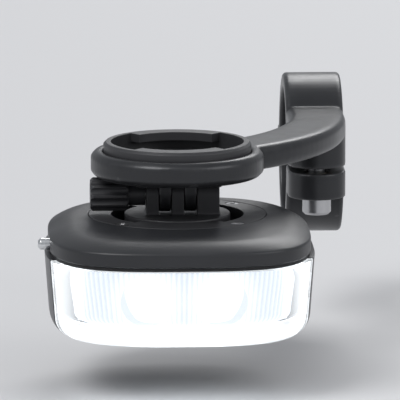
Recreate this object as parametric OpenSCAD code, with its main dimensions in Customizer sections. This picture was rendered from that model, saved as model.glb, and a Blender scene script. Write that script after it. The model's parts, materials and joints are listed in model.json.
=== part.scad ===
// Bike headlight on an out-front handlebar bracket, in millimetres
// The handlebar's axis is X through the origin, the beam points to -Y and Z is up

/* [Handlebar clamp] */
// Diameter of the handlebar that the clamp holds
bar_d = 31.8; // [31:0.1:33]
// Width of the clamp along the handlebar
clamp_w = 14; // [13:0.5:17]
// Wall of the clamp's two halves
clamp_wall = 3.6; // [3.2:0.1:4.4]
// Gap between the two halves at the bolt
clamp_gap = 1.2; // [0.8:0.1:1.6]
// Thread diameter of the clamp bolt
clamp_bolt_d = 4; // [3.5:0.25:4.5]
// Diameter of the clamp's hinge pin
hinge_pin_d = 3; // [2.5:0.25:3.5]

/* [Bracket arm] */
// Distance from the handlebar's axis forward to the light's pivot
reach = 75; // [72:1:90]
// Sideways distance from the clamp to the middle of the light
side_offset = 36; // [34:1:42]
// Height of the arm's underside above the handlebar's axis
arm_rise = 7.4; // [7:0.1:9]
// Width of the arm
arm_w = 14; // [12:0.5:16]
// Thickness of the arm and of its disc
arm_t = 6; // [5.6:0.1:7.5]
// Diameter of the arm's disc
disc_d = 41; // [40:0.5:46]

/* [Quarter turn] */
// Opening between the lugs of a quarter-turn seat
qt_opening_d = 25.6; // [24:0.2:26.5]
// Cavity under the lugs
qt_cavity_d = 31.5; // [30.5:0.1:32]
// Outside of the seat's cup
qt_outer_d = 35; // [34.5:0.1:36]
// Thickness of the lugs
qt_lug_t = 2; // [1.6:0.1:2.4]
// Height of the cavity
qt_cavity_t = 2.5; // [2.2:0.1:3]
// Angle that each lug spans
qt_lug_angle = 84; // [76:1:88]
// Angle that each tab of the plug spans
qt_tab_angle = 78; // [60:1:80]
// Floor of the seat in the light
socket_floor_t = 1.5; // [1.2:0.1:1.8]
// Diameter of the seat's flange in the light's top
socket_flange_d = 42; // [41:0.25:43]
// Floor of the seat on the arm
puck_floor_t = 2.2; // [2:0.1:2.8]

/* [Tilt hinge] */
// Radius of the hinge fingers
finger_r = 4.2; // [4.1:0.1:5]
// Thickness of each finger
finger_t = 2.9; // [2.6:0.1:3.2]
// Gap between neighbouring fingers
finger_gap = 0.1; // [0.08:0.02:0.2]
// Thread diameter of the tilt bolt
tilt_bolt_d = 3; // [2.5:0.25:3.5]
// Width of the tilt nut across its flats
nut_flats = 5.5; // [5:0.1:6]
// Thickness of the tilt nut
nut_t = 2.4; // [2:0.1:3]
// Diameter of the hand knob's grip
knob_d = 8; // [7.4:0.1:8.4]
// Length of the hand knob's grip
knob_grip_l = 9; // [8:0.5:12]
// Length of the hand knob's neck
knob_neck_l = 4; // [3:0.2:6]

/* [Light head] */
// Width of the light
head_w = 63.5; // [61:0.5:70]
// Length of the light
head_l = 72; // [70:0.5:78]
// Height of the light
head_h = 25; // [24:0.2:28]
// Distance from the pivot forward to the light's front
nose = 43; // [42:0.5:46]
// Length of the bowed front, from the light's widest place
bow = 34; // [32:0.5:38]
// Squareness of the bowed front
front_power = 3.2; // [2.8:0.1:4]
// Squareness of the tapered rear
rear_power = 2.8; // [2.6:0.1:4]
// Height of the upper housing
upper_h = 6; // [5.6:0.1:6.6]
// Step from the lens in to the upper housing
upper_step = 0.9; // [0.5:0.1:1]
// Height of the upper housing's crown above its crease
crown_h = 2.3; // [2:0.1:2.4]
// Depth of the crown, from the crease in to the flat top
crown_in = 6.4; // [5:0.1:6.6]
// Amount that the sides lean in towards the bottom
draft = 1; // [0.6:0.1:1.4]
// Radius of the lower edge
base_r = 5; // [4:0.25:5.5]
// Wall of the housings and the lens
wall = 2; // [1.8:0.1:2.2]
// Floor of the lower housing
floor_t = 3.6; // [3.2:0.1:3.8]
// Distance from the pivot forward to the lens's rear edge
split = 25; // [24:0.25:26]
// Thickness of the rubber seals
seal_t = 0.8; // [0.6:0.1:1]

/* [Light engine] */
// Distance between the two light sources
led_pitch = 17.3; // [15:0.1:19]
// Radius of a collimator at its front
collimator_r = 6; // [5:0.1:6.2]
// Wall of the light guide
guide_t = 1.4; // [1.2:0.1:1.6]
// Gap from the lens in to the light guide
guide_gap = 1; // [0.6:0.1:1.2]
// Width of the board that carries the light sources
led_board_w = 44; // [40:0.5:46]
// Thickness of the boards
board_t = 1.2; // [1:0.1:1.4]
// Thickness of the heat spreader
spreader_t = 3.6; // [3:0.1:3.8]

/* [Battery and controls] */
// Clearance from the battery pack to the screw posts
battery_gap = 1.8; // [1.4:0.1:2.4]
// Diameter of the mode button
button_d = 2.8; // [2.4:0.1:2.8]
// Distance that the mode button stands out of the side
button_out = 2.6; // [2:0.1:3]
// Distance that the mode button travels
button_travel = 0.8; // [0.6:0.1:0.9]
// Distance from the pivot forward to the mode button
button_fwd = 17.2; // [17:0.1:18]
// Width of the port flap
flap_w = 15; // [14.5:0.25:16]
// Height of the port flap
flap_h = 8; // [7.8:0.1:8.2]
// Thickness of the port flap
flap_t = 1.6; // [1.4:0.1:2]

/* [Hidden] */
$fn = 64;
// Clearance of a shaft in its hole, at the radius
run = 0.05;
// Clearance of a fixed piece in its seat
fit = 0.1;
// Clearance between pieces that pass each other
pass = 0.3;

bar_r = bar_d / 2;
clamp_r = bar_r + clamp_wall;
bolt_r = clamp_bolt_d / 2;
bolt_y = clamp_r + bolt_r + 2.2;
bolt_head_r = clamp_bolt_d * 0.875;
bolt_head_h = clamp_bolt_d;
ear_h = 6.4;
insert_r = bolt_r + 1.2;
insert_z0 = clamp_gap / 2 + 0.2;
insert_h = 7.6;
hinge_pin_r = hinge_pin_d / 2;
hinge_y = clamp_r + hinge_pin_r + 0.4;
knuckle_r = hinge_pin_r + 1.7;
knuckle_w = clamp_w * 0.48;

arm_top = arm_rise + arm_t;
arm_start = clamp_r + 2.5;
arm_run = reach - arm_start;
arc_r = (side_offset * side_offset + arm_run * arm_run) / (2 * side_offset);
arc_angle = atan2(arm_run, arc_r - side_offset);
arm_round = 2;
edge = 0.6;

pivot_clear = 0.3;
pivot_drop = finger_r + pivot_clear;
pivot_z = arm_rise - pivot_drop;
finger_pitch = finger_t + finger_gap;
tilt_bolt_r = tilt_bolt_d / 2;
nut_r = nut_flats / 2 / cos(30);
finger_end = 2 * finger_pitch + finger_t / 2;
knob_x0 = finger_end + 0.2;
knob_x1 = knob_x0 + knob_neck_l;
knob_x2 = knob_x1 + knob_grip_l;
cap_r = tilt_bolt_d * 0.875;
cap_h = 2.8;

puck_z0 = arm_rise + 1.4;
puck_screw_c = 12;
puck_screw_r = 1.25;

top_z = -(pivot_drop + pivot_clear);
part_z = top_z - upper_h;
bottom_z = top_z - head_h;
half_w = head_w / 2;
mid_y = bow - nose;
rear_l = head_l - bow;
rear_y = mid_y + rear_l;
split_y = -split;
floor_z = bottom_z + floor_t;
seat_top = part_z - seal_t / 2;
upper_z0 = part_z + seal_t / 2;
outline_steps = 64;
arc_steps = 6;
gasket_in = 0.3;
// Share of the wall by which the crown is flatter inside
crown_share = 0.7;

socket_z0 = top_z - qt_lug_t - qt_cavity_t - socket_floor_t;
flange_t = 1.6;
pad_r = socket_flange_d / 2 + 1.8;
pad_t = 4.4;
socket_screw_c = (socket_flange_d + qt_outer_d) / 4;
socket_screw_r = 0.9;
socket_head_r = 1.6;
core_r = qt_opening_d / 2 - 0.25;
tab_r = qt_cavity_d / 2 - pass;
plug_z0 = top_z - qt_lug_t - qt_cavity_t + 0.2;
plug_z1 = top_z + pivot_clear;
tab_top = top_z - qt_lug_t - 0.2;

board_z1 = part_z - 1.9;
board_z0 = board_z1 - board_t;
board_inset = wall + 0.8;
post_inset = 6.95;
front_post = [half_w - post_inset, 10];
rear_post = [13, rear_y - 8.5];
post_r = 2.8;
boss_r = post_r + 0.2;
boss_neck_r = 1.9;
screw_r = 1.25;
screw_head_r = 2.2;
screw_head_h = 2;
screw_top = top_z - pad_t + 0.2;

guide_inset = wall + guide_gap;
guide_set = 5;
guide_drop = 1;
guide_rear = split_y - guide_set;
guide_top = part_z - guide_drop;
optic_z = (guide_top + bottom_z + guide_inset + guide_t) / 2;
led_board_t = 1.6;
led_y = split_y - led_board_t;
led_size = 3.6;
led_h = 1;
bezel_gap = 0.2;
bezel_y0 = guide_rear + bezel_gap;
bezel_t = 1.4;
bezel_pin_r = 1.5;
bezel_pin_in = 4;
tail_r = collimator_r / 2;
collimator_y = guide_inset + guide_t - 0.05 - nose;
bezel_w = led_board_w + 4;
bezel_drop = collimator_r + bezel_gap;

battery_y0 = split_y + spreader_t + 1.6;
battery_z0 = floor_z + 0.2;
battery_w = 2 * (front_post[0] - boss_r - battery_gap);
battery_l = rear_post[1] - boss_r - battery_gap - battery_y0;
battery_t = board_z0 - 1.1 - battery_z0;
battery_round = 3;
lead_r = 0.5;
lead_pitch = 16;
chip_h = 1.1;

button_r = button_d / 2;
button_z = (upper_z0 + top_z - crown_h) / 2;
side_x = half_w - upper_step;
inner_x = side_x - wall;
seal_x = side_x - 0.5;
seal_w = 0.7;
seal_groove_r = button_r - 0.5;
flange_x = inner_x - 2 * pass;
button_flange_t = 0.8;
button_flange_w = 6.4;
switch_tip_x = flange_x - button_flange_t - button_travel - 0.1;
switch_x = switch_tip_x - 0.5;
switch_t = 1.6;
switch_board_w = 7.6;
switch_board_t = 1;
switch_top = button_z + 1.3;

port_z = board_z0 - 1.6;
usb_w = 8.94;
usb_h = 3.2;
usb_l = 7.3;
usb_y1 = rear_y - wall - 0.3;
seat_y = rear_y + 0.3;
bead_r = 0.9;
flap_axis_y = seat_y + bead_r + fit;
flap_axis_z = port_z - flap_h / 2 - bead_r;
trunnion_r = 0.6;
flap_web = 12;
flap_plug_l = 1.3;
flap_plug_gap = 0.45;
lug_w = 2.2;
lug_r = 1.4;
window_w = 8;
window_h = 1.8;
window_z = button_z;
port_w = 11.6;
port_h = 6.2;
fin_pitch = 4;
fin_slot_w = 1.8;
fin_slot_d = 1.6;
fin_slots = 9;
fin_y0 = split_y + 4;
fin_y1 = rear_post[1] - 6;

// Signed power, for the bowed outline of the light
function spow(c, p) = sign(c) * pow(abs(c), p);

// Outline of the light in plan, moved in by an inset
function outline(inset) = [
    for (i = [0 : outline_steps - 1])
        let (t = 360 * i / outline_steps)
        let (ahead = sin(t) < 0)
        let (p = 2 / (ahead ? front_power : rear_power))
        let (l = (ahead ? bow : rear_l) - inset)
        [(half_w - inset) * spow(cos(t), p), mid_y + l * spow(sin(t), p)]
];

function ring(inset, z) = [for (p = outline(inset)) [p[0], p[1], z]];

// Rings of the light below the parting line, moved in by an inset and up by a lift
function tub_rings(inset, lift, z1) = concat(
    [
        for (k = [arc_steps : -1 : 0])
            let (t = 90 * k / arc_steps)
            ring(inset + draft + base_r * (1 - cos(t)), bottom_z + lift + base_r * (1 - sin(t)))
    ],
    [ring(inset, z1)]
);

// Rings of the light above the parting line, moved in by a wall: a band, a crease and a crown
function cap_rings(t_wall, z0) = concat(
    [ring(upper_step + t_wall, z0)],
    [
        for (k = [0 : arc_steps])
            let (s = k / arc_steps)
            ring(upper_step + t_wall + (crown_in - t_wall) * s,
                top_z - t_wall - (crown_h - crown_share * t_wall) * pow(1 - s, 2))
    ]
);

// A solid through rings of points that run from the bottom up
module loft(rings) {
    n = len(rings[0]);
    top = (len(rings) - 1) * n;
    sides = [
        for (k = [0 : len(rings) - 2])
            for (i = [0 : n - 1])
                let (a = k * n + i, b = k * n + (i + 1) % n)
                each [[a, a + n, b + n], [a, b + n, b]]
    ];
    foot = [for (i = [0 : n - 1]) i];
    lid = [for (i = [n - 1 : -1 : 0]) top + i];
    polyhedron([for (r = rings) each r], concat(sides, [foot, lid]));
}

module in_head() {
    translate([-side_offset, -reach, pivot_z]) children();
}

// Turns a flat shape to face along X: its x becomes Y and its y becomes Z
module along_x(x0, x1) {
    translate([x0, 0, 0]) rotate([90, 0, 90]) linear_extrude(x1 - x0) children();
}

// Turns a flat shape to face along Y: its y becomes Z
module along_y(y0, y1) {
    translate([0, y1, 0]) rotate([90, 0, 0]) linear_extrude(y1 - y0) children();
}

module rod_x(x0, x1, r) {
    translate([x0, 0, 0]) rotate([0, 90, 0]) cylinder(r = r, h = x1 - x0);
}

module rod_y(y0, y1, r) {
    translate([0, y0, 0]) rotate([-90, 0, 0]) cylinder(r = r, h = y1 - y0);
}

// A rod along X with its two ends broken by a small bevel
module bevel_rod_x(x0, x1, r, c) {
    translate([x0, 0, 0]) rotate([0, 90, 0]) rotate_extrude()
        polygon([[0, 0], [r - c, 0], [r, c], [r, x1 - x0 - c], [r - c, x1 - x0], [0, x1 - x0]]);
}

// A bolt's head on the plane z = 0, with its top edge broken by a small bevel
module bolt_head(r, h, c) {
    rotate_extrude() polygon([[0, 0], [r, 0], [r, h - c], [r - c, h], [0, h]]);
}

module block(x0, x1, y0, y1, z0, z1) {
    translate([x0, y0, z0]) cube([x1 - x0, y1 - y0, z1 - z0]);
}

module rounded(w, l, r) {
    square([w - 2 * r, l], center = true);
    square([w, l - 2 * r], center = true);
    for (s = [-1, 1])
        for (t = [-1, 1]) translate([s * (w / 2 - r), t * (l / 2 - r)]) circle(r = r);
}

module stadium(l, w) {
    square([l - w, w], center = true);
    for (s = [-1, 1]) translate([s * (l - w) / 2, 0]) circle(d = w);
}

// A wedge of a disc about the y axis, on both sides of the middle
module wedges(r, angle) {
    for (s = [0, 180])
        rotate(s) polygon([[0, 0], [2 * r * sin(angle / 2), 2 * r * cos(angle / 2)],
            [-2 * r * sin(angle / 2), 2 * r * cos(angle / 2)]]);
}

module ring_wedges(r0, r1, angle) {
    intersection() {
        difference() {
            circle(r = r1);
            circle(r = r0);
        }
        wedges(r1, angle);
    }
}

// Cup with two lugs, which a quarter-turn plug locks under
module quarter_turn_cup(cup_floor, bevel) {
    h = cup_floor + qt_cavity_t + qt_lug_t;
    rotate_extrude() polygon([[0, 0], [qt_outer_d / 2, 0], [qt_outer_d / 2, h - bevel],
        [qt_outer_d / 2 - bevel, h], [qt_cavity_d / 2, h], [qt_cavity_d / 2, cup_floor], [0, cup_floor]]);
    translate([0, 0, cup_floor + qt_cavity_t])
        linear_extrude(qt_lug_t) ring_wedges(qt_opening_d / 2, qt_cavity_d / 2 + 0.6, qt_lug_angle);
}

// Rounded hinge finger, which runs from the pivot along its z sign
module finger(x0, x1, side, l) {
    along_x(x0, x1) {
        circle(r = finger_r);
        translate([-finger_r, side > 0 ? 0 : -l]) square([2 * finger_r, l]);
    }
}

module ear(z0, z1) {
    translate([0, 0, z0]) linear_extrude(z1 - z0) {
        translate([0, -bolt_y]) circle(d = clamp_w);
        translate([-clamp_w / 2, -bolt_y]) square([clamp_w, bolt_y - bar_r + 1]);
    }
}

module hinge_web(x0, x1, side) {
    z0 = side > 0 ? clamp_gap / 2 : -knuckle_r;
    block(x0, x1, bar_r + 1, hinge_y, z0, z0 + knuckle_r - clamp_gap / 2);
    translate([0, hinge_y, 0]) rod_x(x0, x1, knuckle_r);
}

module arm_section() {
    translate([0, arm_rise + arm_t / 2]) rounded(arm_w, arm_t, arm_round);
}

module arm_disc() {
    r = disc_d / 2;
    c = 1.2;
    rotate_extrude() polygon([[0, arm_rise], [r - c, arm_rise], [r, arm_rise + c], [r, arm_top - c],
        [r - c, arm_top], [0, arm_top]]);
}

module at_puck_screws() {
    for (t = [45 : 90 : 315]) rotate(t) translate([puck_screw_c, 0, 0]) children();
}

module bracket_arm() {
    color("dimgray") difference() {
        union() {
            difference() {
                bevel_rod_x(-clamp_w / 2, clamp_w / 2, clamp_r, edge);
                block(-clamp_w, clamp_w, -2 * clamp_r, 2 * clamp_r, -2 * clamp_r, clamp_gap / 2);
            }
            ear(clamp_gap / 2, arm_rise + arm_round);
            along_y(-arm_start, -bar_r + 3) arm_section();
            translate([-arc_r, -arm_start, 0]) rotate(-arc_angle)
                rotate_extrude(angle = arc_angle) translate([arc_r, 0]) arm_section();
            translate([-side_offset, -reach, 0]) arm_disc();
            in_head() for (s = [-1, 1])
                finger(s * finger_pitch - finger_t / 2, s * finger_pitch + finger_t / 2, 1, pivot_drop + 1);
            hinge_web(-knuckle_w / 2, knuckle_w / 2, 1);
        }
        rod_x(-clamp_w, clamp_w, bar_r);
        for (s = [-1, 1])
            translate([s * (clamp_w / 2 + knuckle_w / 2) - clamp_w / 2, hinge_y, 0])
                rod_x(0, clamp_w, knuckle_r + pass);
        translate([0, hinge_y, 0]) rod_x(-clamp_w, clamp_w, hinge_pin_r + run);
        translate([0, -bolt_y, 0]) cylinder(r = insert_r + run, h = insert_z0 + insert_h + fit);
        in_head() rod_x(-3 * finger_pitch, 3 * finger_pitch, tilt_bolt_r + run);
        translate([-side_offset, -reach, 0]) {
            translate([0, 0, puck_z0]) cylinder(d = qt_outer_d + 2 * fit, h = arm_t);
            at_puck_screws() cylinder(r = puck_screw_r + run, h = arm_top);
        }
    }
}

module clamp_band() {
    color("dimgray") difference() {
        union() {
            difference() {
                bevel_rod_x(-clamp_w / 2, clamp_w / 2, clamp_r, edge);
                block(-clamp_w, clamp_w, -2 * clamp_r, 2 * clamp_r, -clamp_gap / 2, 2 * clamp_r);
            }
            ear(-clamp_gap / 2 - ear_h, -clamp_gap / 2);
            hinge_web(-clamp_w / 2, -knuckle_w / 2 - 0.2, -1);
            hinge_web(knuckle_w / 2 + 0.2, clamp_w / 2, -1);
        }
        rod_x(-clamp_w, clamp_w, bar_r);
        translate([0, hinge_y, 0]) {
            rod_x(-knuckle_w / 2 - 0.2, knuckle_w / 2 + 0.2, knuckle_r + pass);
            rod_x(-clamp_w, clamp_w, hinge_pin_r + run);
        }
        translate([0, -bolt_y, -clamp_r]) cylinder(r = bolt_r + 0.8, h = clamp_r);
    }
}

module clamp_hinge_pin() {
    color("silver") translate([0, hinge_y, 0]) rod_x(-clamp_w / 2, clamp_w / 2, hinge_pin_r);
}

module clamp_bolt() {
    z = -clamp_gap / 2 - ear_h - pass;
    color("silver") translate([0, -bolt_y, z]) difference() {
        union() {
            rotate([180, 0, 0]) bolt_head(bolt_head_r, bolt_head_h, edge);
            cylinder(r = bolt_r, h = insert_z0 + insert_h - z);
        }
        translate([0, 0, -bolt_head_h - 1])
            cylinder(r = clamp_bolt_d * 0.42, h = bolt_head_h * 0.6 + 1, $fn = 6);
    }
}

module clamp_insert() {
    color("goldenrod") translate([0, -bolt_y, insert_z0]) difference() {
        cylinder(r = insert_r, h = insert_h);
        translate([0, 0, -1]) cylinder(r = bolt_r + run, h = insert_h + 2);
    }
}

module computer_puck() {
    color("black") translate([-side_offset, -reach, puck_z0]) difference() {
        quarter_turn_cup(puck_floor_t, edge);
        at_puck_screws() translate([0, 0, -1]) cylinder(r = puck_screw_r + run, h = puck_floor_t);
    }
}

module puck_screws() {
    color("silver") translate([-side_offset, -reach, arm_rise]) at_puck_screws() difference() {
        union() {
            rotate([180, 0, 0]) bolt_head(2.2, 1.4, edge);
            cylinder(r = puck_screw_r, h = puck_z0 - arm_rise + puck_floor_t - 1.2);
        }
        translate([0, 0, -2]) cylinder(r = 1.1, h = 1.4, $fn = 6);
    }
}

module tilt_adapter() {
    l = -plug_z1 + 0.5;
    color("dimgray") in_head() difference() {
        union() {
            translate([0, 0, plug_z0]) cylinder(r = core_r, h = plug_z1 - plug_z0);
            translate([0, 0, plug_z0])
                linear_extrude(tab_top - plug_z0) ring_wedges(core_r - 1, tab_r, qt_tab_angle);
            finger(-finger_end, -finger_end + finger_t, -1, l);
            finger(-finger_t / 2, finger_t / 2, -1, l);
            finger(finger_end - finger_t, finger_end + nut_t, -1, l);
        }
        rod_x(-3 * finger_end, 3 * finger_end, tilt_bolt_r + run);
        translate([finger_end, 0, 0]) rotate([0, 90, 0]) cylinder(r = nut_r + fit, h = nut_t + 1, $fn = 6);
    }
}

module tilt_bolt() {
    color("silver") in_head() difference() {
        union() {
            rod_x(-knob_x2 + fit, -knob_x2 + cap_h, cap_r);
            rod_x(-knob_x2 + 1, finger_end + nut_t, tilt_bolt_r);
        }
        translate([-knob_x2 - 1, 0, 0]) rotate([0, 90, 0])
            cylinder(r = tilt_bolt_d * 0.42, h = cap_h - 0.4, $fn = 6);
    }
}

module tilt_knob() {
    r = knob_d / 2;
    color("black") in_head() difference() {
        union() {
            rod_x(-knob_x1 - 1, -knob_x0, r * 0.68);
            bevel_rod_x(-knob_x2, -knob_x1, r, edge);
        }
        rod_x(-knob_x2 - 1, 0, tilt_bolt_r + run);
        rod_x(-knob_x2 - 1, -knob_x2 + cap_h + fit, cap_r + run);
        for (t = [0 : 36 : 324])
            rotate([t, 0, 0]) translate([0, 0, r + 0.5]) rod_x(-knob_x2 - 1, -knob_x1 + 1, 1.1);
    }
}

module tilt_nut() {
    color("silver") in_head() translate([finger_end, 0, 0]) rotate([0, 90, 0]) difference() {
        cylinder(r = nut_r, h = nut_t - fit, $fn = 6);
        translate([0, 0, -1]) cylinder(r = tilt_bolt_r + run, h = nut_t + 2);
    }
}

module at_posts() {
    for (s = [-1, 1]) {
        translate([s * front_post[0], -front_post[1], 0]) children();
        translate([s * rear_post[0], rear_post[1], 0]) children();
    }
}

module at_socket_screws() {
    for (t = [45 : 90 : 315]) rotate(t) translate([socket_screw_c, 0, 0]) children();
}

module upper_housing() {
    color([0.1, 0.1, 0.11]) in_head() difference() {
        union() {
            difference() {
                loft(cap_rings(0, upper_z0));
                loft(cap_rings(wall, upper_z0 - 1));
            }
            translate([0, 0, top_z - pad_t]) cylinder(r = pad_r, h = pad_t - 0.8);
            at_posts() translate([0, 0, board_z1]) cylinder(r = post_r, h = top_z - 1.5 - board_z1);
        }
        translate([0, 0, top_z - flange_t - fit]) cylinder(d = socket_flange_d + 2 * fit, h = 5);
        translate([0, 0, socket_z0]) cylinder(d = qt_outer_d + 2 * fit, h = 10);
        at_socket_screws() translate([0, 0, top_z - pad_t + 0.4])
            cylinder(r = socket_screw_r + run, h = pad_t);
        at_posts() translate([0, 0, board_z1 - 1])
            cylinder(r = screw_r + run, h = screw_top + fit - board_z1 + 1);
        translate([0, -button_fwd, button_z]) rod_x(-half_w - 5, -switch_tip_x, button_r + run);
        translate([0, 0, window_z]) along_y(rear_y - 5, rear_y + 1)
            stadium(window_w + 2 * fit, window_h + 2 * fit);
    }
}

module lower_housing() {
    color([0.13, 0.13, 0.14]) in_head() difference() {
        union() {
            difference() {
                intersection() {
                    loft(tub_rings(0, 0, seat_top));
                    block(-head_w, head_w, split_y + seal_t / 2, head_l, bottom_z - 1, top_z);
                }
                loft(tub_rings(wall, floor_t, part_z + 1));
            }
            at_posts() {
                translate([0, 0, bottom_z + 1.2]) cylinder(r = boss_r, h = board_z0 - bottom_z - 1.2);
                translate([0, 0, bottom_z + 1.2]) cylinder(r = boss_neck_r, h = board_z1 - bottom_z - 1.2);
            }
            block(-flap_w / 2 - lug_r, flap_w / 2 + lug_r, rear_y - wall - 0.4, seat_y,
                flap_axis_z - lug_r - pass, port_z + flap_h / 2 + 2 * fit);
            for (s = [-1, 1]) translate([s * (flap_web / 2 + 4 * fit + lug_w / 2), 0, 0]) {
                block(-lug_w / 2, lug_w / 2, seat_y - 1, flap_axis_y, flap_axis_z - lug_r, flap_axis_z + lug_r);
                translate([0, flap_axis_y, flap_axis_z]) rod_x(-lug_w / 2, lug_w / 2, lug_r);
            }
        }
        at_posts() {
            translate([0, 0, bottom_z - 1]) cylinder(r = screw_r + fit, h = head_h);
            translate([0, 0, bottom_z - 1]) cylinder(r = screw_head_r + fit, h = screw_head_h + 1.1);
        }
        translate([0, 0, port_z]) along_y(rear_y - 6, rear_y + 2) stadium(port_w, port_h);
        translate([0, flap_axis_y, flap_axis_z])
            rod_x(-flap_web / 2 - lug_w, flap_web / 2 + lug_w, trunnion_r + run);
        for (i = [0 : fin_slots - 1])
            translate([(i - (fin_slots - 1) / 2) * fin_pitch, (fin_y0 + fin_y1) / 2, bottom_z - 1])
                linear_extrude(fin_slot_d + 1) rotate(90) stadium(fin_y1 - fin_y0, fin_slot_w);
    }
}

module front_lens() {
    color([0.9, 0.95, 1, 0.6]) in_head() difference() {
        intersection() {
            loft(tub_rings(0, 0, seat_top));
            block(-head_w, head_w, -head_l, split_y - seal_t / 2, bottom_z - 1, top_z);
        }
        loft(tub_rings(wall, wall, part_z + 1));
    }
}

module housing_gasket() {
    color("darkslategray") in_head() translate([0, 0, seat_top]) linear_extrude(seal_t) difference() {
        polygon(outline(upper_step + gasket_in));
        polygon(outline(wall - fit));
    }
}

module lens_gasket() {
    color("darkslategray") in_head() difference() {
        intersection() {
            loft(tub_rings(gasket_in, gasket_in, seat_top));
            block(-head_w, head_w, split_y - seal_t / 2, split_y + seal_t / 2, bottom_z - 1, top_z);
        }
        loft(tub_rings(wall, wall, part_z + 1));
    }
}

module mount_socket() {
    color("black") in_head() difference() {
        union() {
            translate([0, 0, socket_z0]) quarter_turn_cup(socket_floor_t, 0.1);
            translate([0, 0, top_z - flange_t]) difference() {
                cylinder(d = socket_flange_d, h = flange_t);
                translate([0, 0, -1]) cylinder(d = qt_outer_d - 1, h = flange_t + 2);
            }
        }
        at_socket_screws() {
            translate([0, 0, top_z - flange_t - 1]) cylinder(r = socket_screw_r + run, h = 5);
            translate([0, 0, top_z - 1.1]) cylinder(r = socket_head_r + run, h = 5);
        }
    }
}

module socket_screws() {
    color("silver") in_head() at_socket_screws() difference() {
        union() {
            translate([0, 0, top_z - 1.1]) cylinder(r = socket_head_r, h = 1);
            translate([0, 0, top_z - pad_t + 0.5]) cylinder(r = socket_screw_r, h = pad_t - 1);
        }
        translate([0, 0, top_z - 0.7]) cylinder(r = 0.8, h = 2, $fn = 6);
    }
}

module mode_button() {
    color("silver") in_head() translate([0, -button_fwd, button_z]) {
        difference() {
            bevel_rod_x(-side_x - button_out, -flange_x + edge, button_r, edge);
            difference() {
                rod_x(-seal_x - 0.05, -seal_x + seal_w + 0.05, button_r + 1);
                rod_x(-seal_x - 1, -seal_x + seal_w + 1, seal_groove_r);
            }
        }
        block(-flange_x, -flange_x + button_flange_t, -button_flange_w / 2, button_flange_w / 2, -1, 1);
    }
}

module button_seal() {
    color("darkslategray") in_head() translate([0, -button_fwd, button_z]) difference() {
        rod_x(-seal_x, -seal_x + seal_w, button_r + run / 2);
        rod_x(-side_x - 1, 0, seal_groove_r + run / 2);
    }
}

module tact_switch() {
    color("gray") in_head() translate([0, -button_fwd, button_z]) {
        block(-switch_x, -switch_x + switch_t, -1.75, 1.75, -1.6, switch_top - button_z);
        rod_x(-switch_tip_x, -switch_x + 0.5, 0.9);
    }
}

module switch_board() {
    x = -switch_x + switch_t;
    color("darkgreen") in_head()
        block(x, x + switch_board_t, -button_fwd - switch_board_w / 2, -button_fwd + switch_board_w / 2,
            board_z1, switch_top);
}

module port_flap() {
    color([0.2, 0.2, 0.2]) in_head() {
        translate([0, 0, port_z]) {
            along_y(seat_y + fit, seat_y + fit + flap_t) stadium(flap_w, flap_h);
            along_y(seat_y - flap_plug_l, seat_y + fit + flap_t / 2)
                stadium(port_w - 2 * flap_plug_gap, port_h - 2 * flap_plug_gap);
        }
        block(-flap_web / 2, flap_web / 2, seat_y + fit, seat_y + fit + flap_t, flap_axis_z, port_z - bead_r);
        translate([0, flap_axis_y, flap_axis_z]) {
            rod_x(-flap_web / 2, flap_web / 2, bead_r);
            rod_x(-flap_web / 2 - lug_w + 2 * fit, flap_web / 2 + lug_w - 2 * fit, trunnion_r);
        }
    }
}

module status_window() {
    color([0.8, 0.9, 0.8]) in_head() translate([0, 0, window_z])
        along_y(rear_y - upper_step - wall - 0.3, rear_y - upper_step - 0.2) stadium(window_w, window_h);
}

module housing_screws() {
    color("silver") in_head() at_posts() difference() {
        union() {
            translate([0, 0, bottom_z + 0.2]) cylinder(r = screw_head_r, h = screw_head_h - 0.2);
            translate([0, 0, bottom_z + 1]) cylinder(r = screw_r, h = screw_top - bottom_z - 1);
        }
        translate([0, 0, bottom_z - 1]) cylinder(r = 1.1, h = 2.2, $fn = 6);
    }
}

module at_leds() {
    for (s = [-1, 1]) translate([s * led_pitch / 2, 0, optic_z]) children();
}

module optic_panel() {
    color([0.95, 0.97, 1, 0.7]) in_head() {
        difference() {
            intersection() {
                loft(tub_rings(guide_inset, guide_inset, guide_top));
                block(-head_w, head_w, -head_l, guide_rear, bottom_z, top_z);
            }
            loft(tub_rings(guide_inset + guide_t, guide_inset + guide_t, part_z + 1));
        }
        at_leds() translate([0, collimator_y, 0]) rotate([-90, 0, 0])
            cylinder(r1 = collimator_r, r2 = tail_r, h = led_y - led_h - 0.4 - collimator_y);
    }
}

module optic_bezel() {
    w = bezel_w / 2;
    y1 = bezel_y0 + bezel_t;
    color("whitesmoke") in_head() {
        difference() {
            block(-w, w, bezel_y0, y1, optic_z - bezel_drop, guide_top - pass);
            at_leds() rod_y(bezel_y0 - 1, y1 + 1, tail_r + 0.9);
        }
        for (s = [-1, 1]) translate([s * (w - bezel_pin_in), 0, optic_z]) rod_y(y1 - fit, led_y, bezel_pin_r);
    }
}

module leds() {
    color("gold") in_head() at_leds()
        block(-led_size / 2, led_size / 2, led_y - led_h, led_y, -led_size / 2, led_size / 2);
}

module led_board() {
    color("white") in_head()
        block(-led_board_w / 2, led_board_w / 2, led_y, split_y, floor_z + 0.4, guide_top - 1);
}

module led_leads() {
    z = board_z1 + lead_r + run;
    y = led_y - lead_r - run;
    color("firebrick") in_head() for (s = [-1, 1]) translate([s * lead_pitch / 4, 0, 0]) {
        translate([0, 0, z]) rod_y(y, split_y + spreader_t + 2.5, lead_r);
        translate([0, y, z]) sphere(r = lead_r);
        translate([0, y, z - 2.4]) cylinder(r = lead_r, h = 2.4);
    }
}

module heat_spreader() {
    color("lightgray") in_head()
        block(-led_board_w / 2, led_board_w / 2, split_y, split_y + spreader_t, floor_z, board_z0 - 0.4);
}

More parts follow.
